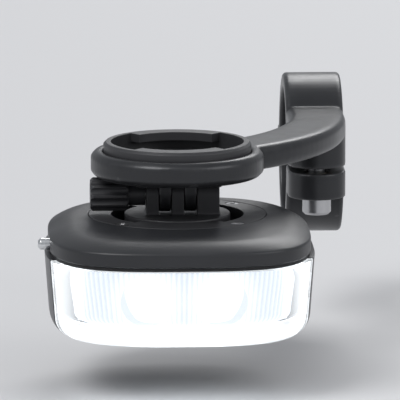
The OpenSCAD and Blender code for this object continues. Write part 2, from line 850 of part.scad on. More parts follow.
module battery_pack() {
    color("steelblue") in_head() translate([0, battery_y0 + battery_l / 2, battery_z0])
        linear_extrude(battery_t) rounded(battery_w, battery_l, battery_round);
}

module battery_leads() {
    l = battery_t * 0.415;
    color("firebrick") in_head() for (s = [-1, 1])
        translate([s * lead_pitch / 2, battery_y0 - lead_r - fit, board_z0 - run - l])
            cylinder(r = lead_r, h = l);
}

module main_board() {
    color("darkgreen") in_head() {
        difference() {
            translate([0, 0, board_z0]) linear_extrude(board_t) intersection() {
                polygon(outline(board_inset));
                translate([-head_w, split_y + spreader_t + 0.4]) square([2 * head_w, head_l]);
            }
            at_posts() translate([0, 0, board_z0 - 1]) cylinder(r = boss_neck_r + fit, h = board_t + 2);
        }
        for (c = [[0, 0.1, 8, 7], [0.36, -0.06, 6, 6], [-0.42, 0.3, 5, 5]])
            translate([c[0] * half_w, c[1] * rear_y, board_z1 - 0.3])
                linear_extrude(chip_h + 0.3) square([c[2], c[3]], center = true);
    }
}

module usb_socket() {
    color("silver") in_head() translate([0, 0, port_z]) {
        difference() {
            along_y(usb_y1 - usb_l, usb_y1) stadium(usb_w, usb_h);
            along_y(usb_y1 - usb_l + 1, usb_y1 + 1) stadium(usb_w - 0.6, usb_h - 0.6);
        }
        block(-3.3, 3.3, usb_y1 - usb_l + 0.5, usb_y1 - 0.8, -0.35, 0.35);
    }
}

bracket_arm();
clamp_band();
clamp_hinge_pin();
clamp_bolt();
clamp_insert();
computer_puck();
puck_screws();
tilt_adapter();
tilt_bolt();
tilt_knob();
tilt_nut();
upper_housing();
lower_housing();
front_lens();
housing_gasket();
lens_gasket();
mount_socket();
socket_screws();
mode_button();
button_seal();
tact_switch();
switch_board();
port_flap();
status_window();
housing_screws();
optic_panel();
optic_bezel();
leds();
led_board();
led_leads();
heat_spreader();
battery_pack();
battery_leads();
main_board();
usb_socket();
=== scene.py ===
"""Bike headlight on an out-front bracket: its looks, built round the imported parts, in metres."""

import json
import math

import bmesh
import bpy
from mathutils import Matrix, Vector


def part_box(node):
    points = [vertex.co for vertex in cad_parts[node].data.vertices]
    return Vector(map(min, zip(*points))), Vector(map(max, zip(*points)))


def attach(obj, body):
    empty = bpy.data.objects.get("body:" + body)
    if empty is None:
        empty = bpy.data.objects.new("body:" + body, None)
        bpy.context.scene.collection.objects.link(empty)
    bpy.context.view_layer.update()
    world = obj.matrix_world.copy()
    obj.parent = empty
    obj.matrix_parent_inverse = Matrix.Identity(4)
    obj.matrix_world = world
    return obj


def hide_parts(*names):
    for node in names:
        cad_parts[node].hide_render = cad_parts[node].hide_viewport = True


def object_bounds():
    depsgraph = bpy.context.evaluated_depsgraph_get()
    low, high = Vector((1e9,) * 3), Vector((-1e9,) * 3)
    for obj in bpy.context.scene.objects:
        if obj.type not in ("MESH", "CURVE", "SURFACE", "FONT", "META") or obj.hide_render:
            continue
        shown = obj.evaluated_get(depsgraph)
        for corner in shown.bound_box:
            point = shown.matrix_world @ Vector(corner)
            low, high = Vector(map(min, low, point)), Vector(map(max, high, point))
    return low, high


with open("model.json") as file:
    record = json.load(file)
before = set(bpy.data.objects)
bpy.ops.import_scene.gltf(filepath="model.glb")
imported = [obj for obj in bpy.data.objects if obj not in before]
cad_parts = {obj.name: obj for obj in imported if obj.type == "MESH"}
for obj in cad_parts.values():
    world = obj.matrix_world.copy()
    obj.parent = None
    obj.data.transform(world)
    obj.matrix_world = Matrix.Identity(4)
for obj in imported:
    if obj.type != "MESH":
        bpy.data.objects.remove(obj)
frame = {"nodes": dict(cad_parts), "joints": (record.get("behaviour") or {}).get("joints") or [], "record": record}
cad_low, cad_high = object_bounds()
nodes = frame["nodes"]
joints = {row["name"]: row for row in frame["joints"]}

# Sizes of the light, seen from its tilt pivot
MM = 0.001
PIVOT = Vector(joints["light_tilt"]["pos_m"])


def head_box(node):
    """Corners of a node of the light, seen from the tilt pivot."""
    low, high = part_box(node)
    return low - PIVOT, high - PIVOT


lens_low, lens_high = head_box("front_lens")
body_low, body_high = head_box("lower_housing")
cap_high = head_box("upper_housing")[1]
guide_high = head_box("optic_panel")[1]
socket_low, socket_high = head_box("mount_socket")
button_low, button_high = head_box("mode_button")
window_low, window_high = head_box("status_window")
led_low, led_high = head_box("leds")
port_low, port_high = head_box("usb_socket")
flap_low, flap_high = head_box("port_flap")

HALF_W = (body_high.x - body_low.x) / 2
NOSE_Y = lens_low.y
BOW = 34 * MM
MID_Y = NOSE_Y + BOW
UPPER_STEP = 0.9 * MM
REAR_Y = cap_high.y + UPPER_STEP
REAR_L = REAR_Y - MID_Y
FRONT_POWER = 3.2
REAR_POWER = 2.8
BOTTOM_Z = lens_low.z
SEAT_Z = lens_high.z
SEAL_T = 0.8 * MM
CAP_Z = SEAT_Z + SEAL_T
PART_Z = SEAT_Z + SEAL_T / 2
TOP_Z = socket_high.z
CROWN_H = 2.3 * MM
CROWN_IN = 6.4 * MM
CROWN_SHARE = 0.7
INNER_SHARES = (0.7, 0.5, 0.3, 0.15, 0)
CREASE_DROP = 0.45 * MM
CREASE_SHARE = 0.06
CAP_LIP = 0.25 * MM
DRAFT = 1 * MM
BASE_R = 5 * MM
WALL = 2 * MM
INNER_RISE = 1 * MM
FLOOR_T = 3.6 * MM
GUIDE_INSET = 3 * MM
GUIDE_SET = 4.6 * MM
GUIDE_T = 1.4 * MM
GUIDE_LAP = 0.05 * MM
COLLIMATOR_R = 6 * MM
TAIL_R = 3 * MM
TAIL_CORE = 0.6
TAIL_GAP = 0.4 * MM
LED_SIZE = 3.6 * MM
LED_X = (led_high.x - led_low.x - LED_SIZE) / 2
OPTIC_Z = (led_low.z + led_high.z) / 2
FIT = 0.1 * MM
SOCKET_R = (socket_high.x - socket_low.x) / 2
CUP_R = 17.5 * MM
RECESS_T = 1.7 * MM
PAD_R = SOCKET_R + 1.8 * MM
PAD_T = 4.4 * MM

# Rear of the light: the port with the flap's seat and lugs, the screw wells and the cooling slots
PORT_Z = (port_low.z + port_high.z) / 2
PORT_Y = (23 * MM, 31 * MM)
PORT_W = 11.6 * MM
PORT_H = 6.2 * MM
FLAP_SET = 1.3 * MM
FLAP_SEAT_W = 17.8 * MM
FLAP_SEAT_SINK = 0.4 * MM
LUG_R = 1.4 * MM
LUG_W = 2.2 * MM
LUG_X = 7.5 * MM
LUG_ROOT = 2 * MM
LUG_CLEAR = 0.3 * MM
WELL_R = 2.3 * MM
WELL_H = 2.1 * MM
FRONT_WELL = (24.8 * MM, -10 * MM)
REAR_WELL = (13 * MM, REAR_Y - 8.5 * MM)
SLOTS = 9
SLOT_PITCH = 4 * MM
SLOT_W = 1.8 * MM
SLOT_H = 1.6 * MM
SLOT_AHEAD = 3.6 * MM
SLOT_BEHIND = 14.5 * MM
CUT_PAST = 1 * MM
CUT_IN = 3 * MM

# Fineness of the curved shells
SIDE_STEPS = 4
ARC_STEPS = 12
FLAT_EDGE = 0.5 * MM
SHELL_COLUMNS = 160
GUIDE_COLUMNS = 576
GUIDE_FINENESS = 4
FLUTES = 48
FLUTE_DEPTH = 0.22 * MM
DOME_H = 0.5 * MM
LUG_STEPS = 16
CREASE_STEPS = 6
HORN_STEPS = 8
HORN_SIDES = 48
SHARP_DEG = 38
LENS_ROUND = 0.35 * MM
LENS_ROUND_DEG = 50

# How brightly the light guide and the inside and ends of the lens are lit, from 0 to 1, and how far in
BACK_GLOW = 0.6
RIB_GLOW = 0.6
RIB_CHANGE = 0.12
END_FADE = 0.1
RIM_GLOW = 0.8
RIM_REACH = 2.4 * MM
LENS_DIM = 0.1
SIDE_LIT = 11 * MM
SIDE_FADE = 6 * MM
FLOOR_LIT = 7 * MM
FLOOR_FADE = 4 * MM
EYE_EDGE = 0.12
EYE_REACH = 1.7
HALO = 0.2


class Skin:
    """Rows of points and the faces between them, for one piece."""

    def __init__(self):
        self.points = []
        self.faces = []

    def row(self, points):
        start = len(self.points)
        self.points.extend(points)
        return list(range(start, len(self.points)))

    def join(self, first, second, closed=False):
        last = len(first) if closed else len(first) - 1
        for i in range(last):
            k = (i + 1) % len(first)
            self.faces.append((first[i], first[k], second[k], second[i]))

    def cap(self, row):
        self.faces.append(tuple(row))

    def prism(self, section, low, high, place):
        """A straight prism over a section of (u, v) pairs, from low to high."""
        first = self.row([place(u, v, low) for u, v in section])
        second = self.row([place(u, v, high) for u, v in section])
        self.join(first, second, closed=True)
        self.cap(first)
        self.cap(second)

    def lathe(self, profile, steps, place):
        """A turned shape through (radius, height) pairs, closed at both ends."""
        turns = [2 * math.pi * i / steps for i in range(steps)]
        rows = [
            self.row([place(r * math.cos(t), r * math.sin(t), h) for t in turns])
            for r, h in profile
        ]
        for first, second in zip(rows, rows[1:]):
            self.join(first, second, closed=True)
        self.cap(rows[0])
        self.cap(rows[-1])


def along_x(u, v, w):
    return Vector((w, u, v))


def along_y(u, v, w):
    return Vector((u, w, v))


def along_z(u, v, w):
    return Vector((u, v, w))


def at(place, offset):
    """The same placing, moved by an offset."""
    return lambda u, v, w: place(u, v, w) + offset


def circle(radius, steps=48):
    turns = [2 * math.pi * i / steps for i in range(steps)]
    return [(radius * math.cos(t), radius * math.sin(t)) for t in turns]


def stadium(length, width, steps=20):
    """Outline of a slot with round ends, long in u."""
    reach = (length - width) / 2
    section = []
    for side in (1, -1):
        for i in range(steps + 1):
            t = math.pi * (i / steps - 0.5)
            section.append((side * (reach + width / 2 * math.cos(t)), side * width / 2 * math.sin(t)))
    return section


def shade(mesh):
    mesh.shade_smooth()
    mesh.set_sharp_from_angle(angle=math.radians(SHARP_DEG))


def to_object(name, skin, offset=PIVOT):
    """A linked object from a skin, with its faces turned outwards."""
    mesh = bpy.data.meshes.new(name)
    mesh.from_pydata([p + offset for p in skin.points], [], skin.faces)
    work = bmesh.new()
    work.from_mesh(mesh)
    bmesh.ops.recalc_face_normals(work, faces=work.faces)
    work.to_mesh(mesh)
    work.free()
    shade(mesh)
    obj = bpy.data.objects.new(name, mesh)
    bpy.context.scene.collection.objects.link(obj)
    return obj


def bake(obj):
    """Turns an object's modifiers into its mesh."""
    depsgraph = bpy.context.evaluated_depsgraph_get()
    made = bpy.data.meshes.new_from_object(obj.evaluated_get(depsgraph))
    old = obj.data
    obj.modifiers.clear()
    obj.data = made
    bpy.data.meshes.remove(old)


def combine(obj, skin, operation, offset=PIVOT):
    """Adds a skin's shape to an object, or cuts it away."""
    tool = to_object("tool", skin, offset)
    change = obj.modifiers.new("combine", "BOOLEAN")
    change.operation = operation
    change.solver = "EXACT"
    change.object = tool
    bake(obj)
    shade(obj.data)
    mesh = tool.data
    bpy.data.objects.remove(tool)
    bpy.data.meshes.remove(mesh)


def store_glow(obj, values):
    """Keeps how brightly each point is lit from inside, for the lit materials."""
    glow = obj.data.attributes.new("glow", "FLOAT", "POINT")
    glow.data.foreach_set("value", values)


def ease(value):
    """A smooth step from 0 to 1."""
    t = min(1.0, max(0.0, value))
    return t * t * (3 - 2 * t)


def spow(value, power):
    return math.copysign(abs(value) ** power, value)


def outline(angle, inset, z):
    """Point of the light's plan outline, moved in by an inset."""
    ahead = math.sin(angle) < 0
    power = 2 / (FRONT_POWER if ahead else REAR_POWER)
    length = (BOW if ahead else REAR_L) - inset
    x = (HALF_W - inset) * spow(math.cos(angle), power)
    return Vector((x, MID_Y + length * spow(math.sin(angle), power), z))


def split_angle(inset, split_y):
    """Angle ahead of the light's widest place at which its outline crosses a plane."""
    share = (MID_Y - split_y) / (BOW - inset)
    return math.asin(share ** (FRONT_POWER / 2))


def even_shares(curve, count, fine=6000):
    """Shares of a curve's run at which points lie evenly along it."""
    points = [curve(i / fine) for i in range(fine + 1)]
    reach = [0.0]
    for first, second in zip(points, points[1:]):
        reach.append(reach[-1] + (second - first).length)
    shares = []
    k = 1
    for i in range(count + 1):
        goal = reach[-1] * i / count
        while k < fine and reach[k] < goal:
            k += 1
        step = reach[k] - reach[k - 1]
        shares.append((k - 1 + (goal - reach[k - 1]) / step) / fine)
    return shares


def tub_rows(inset, lift, line_top, top, fineness=1):
    """(inset, z) pairs from the seat down the leaning side and in under the lower edge."""
    foot = BOTTOM_Z + lift + BASE_R
    side_steps = SIDE_STEPS * fineness
    arc_steps = ARC_STEPS * fineness
    rows = []
    for k in range(side_steps + 1):
        z = top + (foot - top) * k / side_steps
        rows.append((inset + DRAFT * (line_top - z) / (line_top - foot), z))
    for k in range(1, arc_steps + 1):
        t = math.pi / 2 * k / arc_steps
        rows.append((inset + DRAFT + BASE_R * (1 - math.cos(t)), foot - BASE_R * math.sin(t)))
    rows.append((rows[-1][0] + FLAT_EDGE, rows[-1][1]))
    return rows


def half_tub(skin, ends, outer, inner, columns, swell=None):
    """Half of the light's tub, cut off square: ends gives a row's first and last angle."""

    def curve(share):
        first, last = ends(outer[0][0])
        return outline(first + (last - first) * share, outer[0][0], 0)

    shares = even_shares(curve, columns)

    def lay(profile, relief):
        rows = []
        for inset, z in profile:
            first, last = ends(inset)
            points = [outline(first + (last - first) * s, inset, z) for s in shares]
            rows.append(skin.row(relief(points) if relief else points))
        return rows

    outside = lay(outer, swell)
    inside = lay(inner, None)
    for rows in (outside, inside):
        for first, second in zip(rows, rows[1:]):
            skin.join(first, second)
        skin.cap(rows[-1])
    skin.join(outside[0], inside[0])
    for end in (0, -1):
        skin.join([row[end] for row in outside], [row[end] for row in inside])
    skin.cap((outside[-1][0], outside[-1][-1], inside[-1][-1], inside[-1][0]))


def make_lens():
    """The clear front half of the tub, lit inside at its sides and its floor."""
    skin = Skin()

    def ends(inset):
        start = split_angle(inset, lens_high.y)
        return -start, start - math.pi

    outer = tub_rows(0, 0, SEAT_Z, SEAT_Z)
    half_tub(skin, ends, outer, tub_rows(WALL, WALL, PART_Z + INNER_RISE, SEAT_Z), SHELL_COLUMNS)
    lens = to_object("lens", skin)
    outside = len(outer) * (SHELL_COLUMNS + 1)
    glow = [RIM_GLOW * ease((p.y - lens_high.y) / RIM_REACH + 1) for p in skin.points[:outside]]
    for p in skin.points[outside:]:
        side = ease((abs(p.x) - HALF_W + SIDE_LIT) / SIDE_FADE)
        low = ease((BOTTOM_Z + FLOOR_LIT - p.z) / FLOOR_FADE)
        glow.append(max(LENS_DIM, side, low))
    store_glow(lens, glow)
    rim = lens.modifiers.new("rim", "BEVEL")
    rim.width = LENS_ROUND
    rim.segments = 3
    rim.limit_method = "ANGLE"
    rim.angle_limit = math.radians(LENS_ROUND_DEG)
    bake(lens)
    shade(lens.data)
    return lens


def add_flap_seat(body):
    """The raised seat round the port, and the two lugs that hold the flap."""
    axis = Vector(joints["port_flap_hinge"]["pos_m"]) - PIVOT
    top = flap_high.z + 2 * FIT
    low = axis.z - LUG_R - LUG_CLEAR
    seat = Skin()
    seat.prism(
        stadium(FLAP_SEAT_W, top - low),
        REAR_Y - WALL - FLAP_SEAT_SINK,
        flap_low.y + FLAP_SET,
        at(along_y, Vector((0, 0, (top + low) / 2))),
    )
    combine(body, seat, "UNION")
    section = [(-LUG_ROOT, -LUG_R), (-LUG_ROOT, LUG_R)]
    for i in range(LUG_STEPS + 1):
        t = math.pi * (0.5 - i / LUG_STEPS)
        section.append((LUG_R * math.cos(t), LUG_R * math.sin(t)))
    for side in (-1, 1):
        lug = Skin()
        lug.prism(section, -LUG_W / 2, LUG_W / 2, at(along_x, Vector((side * LUG_X, axis.y, axis.z))))
        combine(body, lug, "UNION")


def cut_body(body):
    """Cuts the screw wells and cooling slots into the underside, and the port into the rear."""
    cuts = Skin()
    below = BOTTOM_Z - CUT_PAST
    for side in (-1, 1):
        for x, y in (FRONT_WELL, REAR_WELL):
            cuts.prism(circle(WELL_R), below, BOTTOM_Z + WELL_H, at(along_z, Vector((side * x, y, 0))))
    first = body_low.y + SLOT_AHEAD
    last = REAR_Y - SLOT_BEHIND
    section = [(v, u) for u, v in stadium(last - first, SLOT_W)]
    for i in range(SLOTS):
        middle = Vector(((i - (SLOTS - 1) / 2) * SLOT_PITCH, (first + last) / 2, 0))
        cuts.prism(section, below, BOTTOM_Z + SLOT_H, at(along_z, middle))
    cuts.prism(stadium(PORT_W, PORT_H), *PORT_Y, at(along_y, Vector((0, 0, PORT_Z))))
    combine(body, cuts, "DIFFERENCE")


def make_body():
    """The rear half of the lower housing, with its cooling slots, screw wells and port."""
    skin = Skin()

    def ends(inset):
        start = split_angle(inset, body_low.y)
        return -start, math.pi + start

    inner = tub_rows(WALL, FLOOR_T, PART_Z + INNER_RISE, SEAT_Z)
    half_tub(skin, ends, tub_rows(0, 0, SEAT_Z, SEAT_Z), inner, SHELL_COLUMNS)
    body = to_object("rear_housing", skin)
    add_flap_seat(body)
    cut_body(body)
    return body


def make_cap():
    """The upper housing: a closed loop of rings, from its lower rim over the top and back inside."""
    skin = Skin()
    shares = even_shares(lambda s: outline(2 * math.pi * s, 0, 0), SHELL_COLUMNS * 2)[:-1]
    angles = [2 * math.pi * s for s in shares]

    def ring(inset, z):
        return skin.row([outline(a, inset, z) for a in angles])

    def disc(radius, z):
        points = []
        for a in angles:
            p = outline(a, 0, z)
            t = math.atan2(p.y, p.x)
            points.append(Vector((radius * math.cos(t), radius * math.sin(t), z)))
        return skin.row(points)

    def crown(wall, share):
        """(inset, z) on the crown, from the crease at 0 to the flat top at 1."""
        inset = UPPER_STEP + wall + (CROWN_IN - wall) * share
        return inset, TOP_Z - wall - (CROWN_H - CROWN_SHARE * wall) * (1 - share) ** 2

    def crease():
        """(inset, z) pairs up the eased crease between the band and the crown."""
        far_in, far_z = crown(0, CREASE_SHARE)
        near_z = TOP_Z - CROWN_H
        for k in range(CREASE_STEPS + 1):
            t = k / CREASE_STEPS
            inset = UPPER_STEP + t * t * (far_in - UPPER_STEP)
            yield inset, near_z - (1 - t) ** 2 * CREASE_DROP + t * t * (far_z - near_z)

    rings = [ring(UPPER_STEP + CAP_LIP, CAP_Z), ring(UPPER_STEP, CAP_Z + CAP_LIP)]
    rings += [ring(*place) for place in crease()]
    for k in range(1, ARC_STEPS + 1):
        rings.append(ring(*crown(0, CREASE_SHARE + (1 - CREASE_SHARE) * k / ARC_STEPS)))
    recess_r = SOCKET_R + FIT
    rings.append(disc(recess_r + CAP_LIP, TOP_Z))
    rings.append(disc(recess_r, TOP_Z - CAP_LIP))
    rings.append(disc(recess_r, TOP_Z - RECESS_T))
    rings.append(disc(CUP_R + FIT, TOP_Z - RECESS_T))
    rings.append(disc(CUP_R + FIT, TOP_Z - PAD_T))
    inner = [crown(WALL, share) for share in INNER_SHARES]
    rings.append(disc(PAD_R, TOP_Z - PAD_T))
    rings.append(disc(PAD_R, inner[0][1]))
    rings += [ring(*place) for place in inner]
    rings.append(ring(UPPER_STEP + WALL, CAP_Z))
    for first, second in zip(rings, rings[1:] + rings[:1]):
        skin.join(first, second, closed=True)
    cap = to_object("top_housing", skin)

    cuts = Skin()
    button_r = (button_high.z - button_low.z) / 2
    centre = (button_low + button_high) / 2
    cuts.prism(
        circle(button_r + FIT),
        button_low.x - CUT_IN,
        button_high.x,
        at(along_x, Vector((0, centre.y, centre.z))),
    )
    middle = (window_low + window_high) / 2
    size = window_high - window_low
    cuts.prism(
        stadium(size.x + 2 * FIT, size.z + 2 * FIT),
        window_low.y - CUT_PAST,
        window_high.y + CUT_IN,
        at(along_y, Vector((0, 0, middle.z))),
    )
    combine(cap, cuts, "DIFFERENCE")
    return cap


def make_guide():
    """The light guide: a fluted wall behind the lens with a domed eye for each light source."""
    skin = Skin()
    glow = []

    def ends(inset):
        start = split_angle(inset, lens_high.y - GUIDE_SET)
        return -start, start - math.pi

    def relief(points):
        """Pushes a row of points out into upright flutes, and into a dome at each light source."""
        raised = []
        for i, p in enumerate(points):
            before = points[max(i - 1, 0)]
            after = points[min(i + 1, len(points) - 1)]
            out = Vector((before.y - after.y, after.x - before.x, 0)).normalized()
            if out.dot(Vector((p.x, p.y - MID_Y, 0))) < 0:
                out = -out
            near = math.hypot(abs(p.x) - LED_X, p.z - OPTIC_Z) / COLLIMATOR_R
            wave = math.cos(2 * math.pi * FLUTES * i / GUIDE_COLUMNS)
            eye = ease((1 - near) / EYE_EDGE + 0.5)
            dome = DOME_H * max(0.0, 1 - near * near)
            flute = FLUTE_DEPTH * (wave - 1) / 2
            raised.append(p + out * (eye * dome + (1 - eye) * flute))
            end = max(0.0, abs(p.x) - LED_X - COLLIMATOR_R) / (HALF_W - LED_X - COLLIMATOR_R)
            halo = HALO * ease((EYE_REACH - near) / (EYE_REACH - 1))
            rib = RIB_GLOW + RIB_CHANGE * wave + halo - END_FADE * end * end
            glow.append(eye + (1 - eye) * max(0.0, rib))
        return raised

    guide_top = guide_high.z
    back_inset = GUIDE_INSET + GUIDE_T
    half_tub(
        skin,
        ends,
        tub_rows(GUIDE_INSET, GUIDE_INSET, guide_top, guide_top, GUIDE_FINENESS),
        tub_rows(back_inset, back_inset, PART_Z + INNER_RISE, guide_top, GUIDE_FINENESS),
        GUIDE_COLUMNS,
        relief,
    )
    front = NOSE_Y + GUIDE_INSET + GUIDE_T - GUIDE_LAP
    back = led_low.y - TAIL_GAP
    horn = [(TAIL_R * TAIL_CORE, back)]
    for k in range(HORN_STEPS + 1):
        share = k / HORN_STEPS
        radius = TAIL_R + (COLLIMATOR_R - TAIL_R) * math.sin(math.pi / 2 * share)
        horn.append((radius, back + (front - back) * share))
    for side in (-1, 1):
        skin.lathe(horn, HORN_SIDES, at(along_y, Vector((side * LED_X, 0, OPTIC_Z))))
    guide = to_object("light_guide", skin)
    inside = len(guide.data.vertices) - len(glow)
    store_glow(guide, glow + [BACK_GLOW] * inside)
    return guide


def cast(name, node, voxel, passes, extra=None):
    """A node's own shape with its edges and inner corners eased, as moulding or forging leaves them."""
    mesh = nodes[node].data.copy()
    mesh.name = name
    obj = bpy.data.objects.new(name, mesh)
    bpy.context.scene.collection.objects.link(obj)
    if extra:
        combine(obj, extra, "UNION")
    grid = obj.modifiers.new("grid", "REMESH")
    grid.mode = "VOXEL"
    grid.voxel_size = voxel
    grid.use_smooth_shade = True
    smooth = obj.modifiers.new("smooth", "SMOOTH")
    smooth.factor = 0.5
    smooth.iterations = passes
    bake(obj)
    obj.data.shade_smooth()
    return obj


# Materials: the bands that pick out edges and the middle of a noise, and how far the gloss varies
EDGE_BAND = (0.99, 0.85)
BULGE_BAND = (0.505, 0.54)
NOISE_BAND = (0.3, 0.7)
GLOSS_CHANGE = 0.12
EDGE_R = 0.25 * MM
WAVE_UNIT = 20
HANDLED = 2.5
LENS_TINT = (0.93, 0.97, 1.0, 1)
LENS_LIT = 0.95
GUIDE_LIT = (0.45, 1.1)


def node_in(tree, kind, **values):
    """A new shader node: names that are its inputs set these, and others set its properties."""
    made = tree.nodes.new(kind)
    for name, value in values.items():
        if name in made.inputs:
            made.inputs[name].default_value = value
        else:
            setattr(made, name, value)
    return made


def new_material(name):
    material = bpy.data.materials.new(name)
    material.use_nodes = True
    tree = material.node_tree
    return material, tree, tree.nodes["Principled BSDF"]


def noise(tree, place, size, detail):
    made = node_in(tree, "ShaderNodeTexNoise", Scale=1 / size, Detail=detail)
    tree.links.new(place.outputs["Object"], made.inputs["Vector"])
    return made.outputs[0]


def map_range(tree, value, given, wanted=(0, 1)):
    """Maps a value from one range to another."""
    made = node_in(tree, "ShaderNodeMapRange")
    made.inputs["From Min"].default_value = given[0]
    made.inputs["From Max"].default_value = given[1]
    made.inputs["To Min"].default_value = wanted[0]
    made.inputs["To Max"].default_value = wanted[1]
    tree.links.new(value, made.inputs["Value"])
    return made.outputs[0]


def blend_color(tree, factor, low, high):
    made = node_in(tree, "ShaderNodeMix", data_type="RGBA")
    made.inputs[6].default_value = (*low, 1)
    made.inputs[7].default_value = (*high, 1)
    tree.links.new(factor, made.inputs[0])
    return made


def edge_mask(tree, rounded):
    """1 on edges, where the rounded normal leaves the flat one, and 0 elsewhere."""
    flat = node_in(tree, "ShaderNodeNewGeometry")
    dot = node_in(tree, "ShaderNodeVectorMath", operation="DOT_PRODUCT")
    tree.links.new(rounded.outputs["Normal"], dot.inputs[0])
    tree.links.new(flat.outputs["Normal"], dot.inputs[1])
    return map_range(tree, dot.outputs["Value"], EDGE_BAND)


def rubbed_and_highlit_mask(tree):
    """1 where a finely meshed surface bulges, as on an eased edge, and 0 elsewhere."""
    shape = node_in(tree, "ShaderNodeNewGeometry")
    return map_range(tree, shape.outputs["Pointiness"], BULGE_BAND)


def grained(
    name,
    color,
    roughness,
    metallic=0.0,
    grain=0.3 * MM,
    depth=0.006 * MM,
    patch=6 * MM,
    spread=0.2,
    edge_wear_and_highlight=None,
    fine_mesh=False,
):
    """Opaque material with a fine grain, a slow change of tone and gloss, and eased edges; where asked, lighter
    edges that are partly wear and partly a painted highlight.
    """
    material, tree, shader = new_material(name)
    shader.inputs["Metallic"].default_value = metallic
    place = node_in(tree, "ShaderNodeTexCoord")
    slow = noise(tree, place, patch, 4)
    fine = noise(tree, place, grain, 3)
    tone = blend_color(
        tree,
        slow,
        [c * (1 - spread) for c in color],
        [min(1, c * (1 + spread)) for c in color],
    )
    tint = tone.outputs[2]
    rounded = node_in(tree, "ShaderNodeBevel", samples=6, Radius=EDGE_R)
    # Lighter colour on the edges, in random patches: partly edge wear, partly a painted highlight along the edges.
    if edge_wear_and_highlight:
        edges = rubbed_and_highlit_mask(tree) if fine_mesh else edge_mask(tree, rounded)
        wear_and_highlight_mix = node_in(tree, "ShaderNodeMix", data_type="RGBA")
        wear_and_highlight_mix.inputs[7].default_value = (*edge_wear_and_highlight, 1)
        tree.links.new(tint, wear_and_highlight_mix.inputs[6])
        amount = node_in(tree, "ShaderNodeMath", operation="MULTIPLY")
        tree.links.new(edges, amount.inputs[0])
        tree.links.new(slow, amount.inputs[1])
        tree.links.new(amount.outputs[0], wear_and_highlight_mix.inputs[0])
        tint = wear_and_highlight_mix.outputs[2]
    tree.links.new(tint, shader.inputs["Base Color"])
    gloss = (roughness * (1 - GLOSS_CHANGE), min(1, roughness * (1 + GLOSS_CHANGE)))
    tree.links.new(map_range(tree, slow, NOISE_BAND, gloss), shader.inputs["Roughness"])
    bump = node_in(tree, "ShaderNodeBump", Strength=1.0, Distance=depth)
    tree.links.new(fine, bump.inputs["Height"])
    tree.links.new(rounded.outputs["Normal"], bump.inputs["Normal"])
    tree.links.new(bump.outputs["Normal"], shader.inputs["Normal"])
    return material


def turned(name, color, roughness, centre, axis, pitch=0.12 * MM):
    """Lathe-turned metal: fine rings round an axis through a centre."""
    material = grained(name, color, roughness, 1.0, 0.2 * MM, 0.002 * MM, 3 * MM, 0.08)
    tree = material.node_tree
    shader = tree.nodes["Principled BSDF"]
    place = node_in(tree, "ShaderNodeTexCoord")
    shift = node_in(tree, "ShaderNodeMapping")
    shift.inputs["Location"].default_value = [-c for c in centre]
    rings = node_in(
        tree,
        "ShaderNodeTexWave",
        wave_type="RINGS",
        rings_direction=axis,
        Scale=1 / pitch / WAVE_UNIT,
        Distortion=0.4,
    )
    bump = node_in(tree, "ShaderNodeBump", Strength=0.5, Distance=0.004 * MM)
    tree.links.new(place.outputs["Object"], shift.inputs["Vector"])
    tree.links.new(shift.outputs["Vector"], rings.inputs["Vector"])
    tree.links.new(rings.outputs["Fac"], bump.inputs["Height"])
    old = shader.inputs["Normal"].links[0].from_socket
    tree.links.new(old, bump.inputs["Normal"])
    tree.links.new(bump.outputs["Normal"], shader.inputs["Normal"])
    return material


def clear(name, color, roughness, ior, lit=0.0):
    """Clear moulded plastic with faint handling marks in its gloss, and lit points that glow."""
    material, tree, shader = new_material(name)
    shader.inputs["Base Color"].default_value = (*color, 1)
    shader.inputs["Transmission Weight"].default_value = 1.0
    shader.inputs["IOR"].default_value = ior
    place = node_in(tree, "ShaderNodeTexCoord")
    marks = noise(tree, place, 9 * MM, 5)
    gloss = map_range(tree, marks, NOISE_BAND, (roughness, roughness * HANDLED))
    tree.links.new(gloss, shader.inputs["Roughness"])
    if lit:
        shader.inputs["Emission Color"].default_value = LENS_TINT
        glow = node_in(tree, "ShaderNodeAttribute", attribute_name="glow")
        power = map_range(tree, glow.outputs["Fac"], (0, 1), (0, lit))
        tree.links.new(power, shader.inputs["Emission Strength"])
        material.cycles.emission_sampling = "NONE"
    return material


def lit_guide(name):
    """Clear plastic lit from behind: its glow is stored on the piece's points."""
    material, tree, shader = new_material(name)
    shader.inputs["Base Color"].default_value = (0.16, 0.17, 0.19, 1)
    shader.inputs["Roughness"].default_value = 0.18
    glow = node_in(tree, "ShaderNodeAttribute", attribute_name="glow")
    tint = blend_color(tree, glow.outputs["Fac"], (0.66, 0.82, 1.0), (1.0, 1.0, 1.0))
    tree.links.new(tint.outputs[2], shader.inputs["Emission Color"])
    power = map_range(tree, glow.outputs["Fac"], (0, 1), GUIDE_LIT)
    tree.links.new(power, shader.inputs["Emission Strength"])
    material.cycles.emission_sampling = "NONE"
    return material


def lit_chip(name):
    """The phosphor of a light source, switched on."""
    material, tree, shader = new_material(name)
    place = node_in(tree, "ShaderNodeTexCoord")
    cells = noise(tree, place, 0.4 * MM, 2)
    tint = blend_color(tree, cells, (1.0, 0.86, 0.45), (1.0, 0.95, 0.72))
    tree.links.new(tint.outputs[2], shader.inputs["Base Color"])
    tree.links.new(tint.outputs[2], shader.inputs["Emission Color"])
    shader.inputs["Emission Strength"].default_value = 2.0
    shader.inputs["Roughness"].default_value = 0.4
    material.cycles.emission_sampling = "NONE"
    return material


